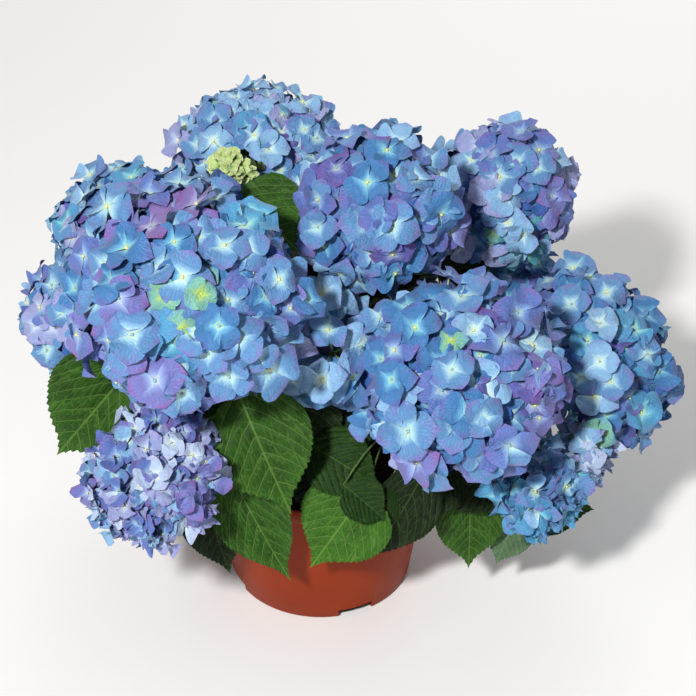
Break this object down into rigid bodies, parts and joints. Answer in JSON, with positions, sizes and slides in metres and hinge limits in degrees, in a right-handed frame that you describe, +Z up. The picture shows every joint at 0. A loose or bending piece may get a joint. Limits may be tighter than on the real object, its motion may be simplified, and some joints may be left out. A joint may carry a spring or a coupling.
{
  "type": "potted hydrangea shrub",
  "caption": "Bigleaf hydrangea in full flower in a round nursery pot: short woody stem, boughs, blue mophead blooms and masses of broad toothed leaves.",
  "frame": {"origin": "centre of the pot's flat underside, on the surface the pot stands on", "axes": "+Z up, -Y towards the plant's front, +X towards its right side seen from the front"},
  "size_m": [0.4526, 0.3545, 0.3627],
  "materials": {
    "pot": "terracotta-coloured moulded plastic, satin",
    "compost": "moist dark peat compost",
    "bark": "thin brown bark, shallow furrows",
    "bough": "half-ripe bark, green under brown",
    "stem": "fresh green shoot, faintly ribbed",
    "bloom": "matte sepals with fine veins, sky blue to lilac",
    "leaf": "quilted leaf with pale veins and toothed edge"
  },
  "bodies": {
    "root": {"bloom_back_left": "bloom", "bloom_back_low_left": "bloom", "bloom_back_low_right": "bloom", "bloom_back_middle": "bloom", "bloom_back_right": "bloom", "bloom_centre": "bloom", "bloom_front_left": "bloom", "bloom_front_right": "bloom", "bloom_low_left": "bloom", "bloom_low_right": "bloom", "bloom_lower_left": "bloom", "bloom_middle": "bloom", "bloom_right": "bloom", "bloom_small_right": "bloom", "bloom_upper_left": "bloom", "bloom_young": "bloom", "bough_back": "bough", "bough_front_right": "bough", "bough_left_back": "bough", "bough_left_front": "bough", "bough_middle": "bough", "bough_right": "bough", "compost": "compost", "leaves_back": "leaf", "leaves_back_left": "leaf", "leaves_back_right": "leaf", "leaves_crown": "leaf", "leaves_front": "leaf", "leaves_front_left": "leaf", "leaves_front_right": "leaf", "leaves_inner": "leaf", "leaves_left": "leaf", "leaves_left_back": "leaf", "leaves_low_left": "leaf", "leaves_low_right": "leaf", "leaves_over_pot": "leaf", "leaves_over_pot_left": "leaf", "leaves_right": "leaf", "leaves_top": "leaf", "pot": "pot", "shoot_back_left": "stem", "shoot_back_low_left": "stem", "shoot_back_low_right": "stem", "shoot_back_middle": "stem", "shoot_back_right": "stem", "shoot_centre": "stem", "shoot_front_left": "stem", "shoot_front_right": "stem", "shoot_low_left": "stem", "shoot_low_right": "stem", "shoot_lower_left": "stem", "shoot_middle": "stem", "shoot_right": "stem", "shoot_small_right": "stem", "shoot_upper_left": "stem", "shoot_young": "stem", "trunk": "bark"}
  },
  "joints": []
}
